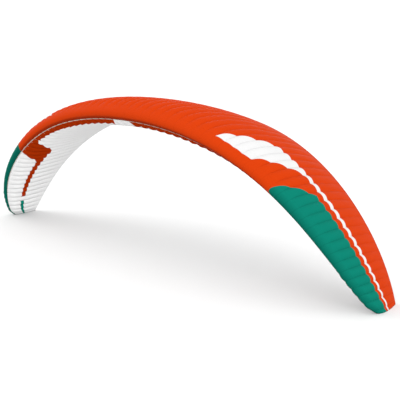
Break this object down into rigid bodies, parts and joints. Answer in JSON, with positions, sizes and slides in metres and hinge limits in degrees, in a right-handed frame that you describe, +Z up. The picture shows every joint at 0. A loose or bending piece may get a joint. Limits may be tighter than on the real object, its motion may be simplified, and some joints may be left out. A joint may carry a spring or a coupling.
{
  "type": "paraglider wing",
  "caption": "Inflated ram-air cloth wing in a deep arc: billowed cells, air mouths under the nose, level closed tips it stands on.",
  "frame": {"origin": "on the floor, midway between the two closed tips and midway between nose and tail", "axes": "+X along the span, -Y towards the nose (leading edge), +Z up"},
  "size_m": [10.5424, 2.4786, 3.2424],
  "materials": {
    "orange_cloth": "coated ripstop nylon, orange, slight sheen",
    "white_cloth": "coated ripstop nylon, white, slight sheen",
    "green_cloth": "coated ripstop nylon, green, slight sheen",
    "rib_cloth": "stiff white rib cloth, matt"
  },
  "bodies": {
    "root": {"band_orange_left": "orange_cloth", "band_orange_right": "orange_cloth", "band_white_middle": "white_cloth", "block_orange_left": "orange_cloth", "block_orange_right": "orange_cloth", "nose_green_left": "green_cloth", "nose_green_right": "green_cloth", "nose_orange_left": "orange_cloth", "nose_orange_right": "orange_cloth", "patch_white_left": "white_cloth", "patch_white_right": "white_cloth", "rib_left_02": "rib_cloth", "rib_left_04": "rib_cloth", "rib_left_06": "rib_cloth", "rib_left_08": "rib_cloth", "rib_left_10": "rib_cloth", "rib_left_12": "rib_cloth", "rib_left_14": "rib_cloth", "rib_left_16": "rib_cloth", "rib_left_18": "rib_cloth", "rib_left_20": "rib_cloth", "rib_left_22": "rib_cloth", "rib_left_24": "rib_cloth", "rib_left_26": "rib_cloth", "rib_middle": "rib_cloth", "rib_right_02": "rib_cloth", "rib_right_04": "rib_cloth", "rib_right_06": "rib_cloth", "rib_right_08": "rib_cloth", "rib_right_10": "rib_cloth", "rib_right_12": "rib_cloth", "rib_right_14": "rib_cloth", "rib_right_16": "rib_cloth", "rib_right_18": "rib_cloth", "rib_right_20": "rib_cloth", "rib_right_22": "rib_cloth", "rib_right_24": "rib_cloth", "rib_right_26": "rib_cloth", "strip_orange_left": "orange_cloth", "strip_orange_right": "orange_cloth", "stripe_white_left": "white_cloth", "stripe_white_right": "white_cloth", "tip_cap_left": "green_cloth", "tip_cap_right": "green_cloth", "top_inner_left": "orange_cloth", "top_inner_right": "orange_cloth", "top_outer_left": "orange_cloth", "top_outer_right": "orange_cloth", "under_front_left": "white_cloth", "under_front_right": "white_cloth", "under_inner_left": "white_cloth", "under_inner_right": "white_cloth", "under_outer_left": "white_cloth", "under_outer_right": "white_cloth", "under_stripe_green_left": "green_cloth", "under_stripe_green_right": "green_cloth", "under_stripe_orange_left": "orange_cloth", "under_stripe_orange_right": "orange_cloth", "wedge_orange_left": "orange_cloth", "wedge_orange_right": "orange_cloth"}
  },
  "joints": []
}
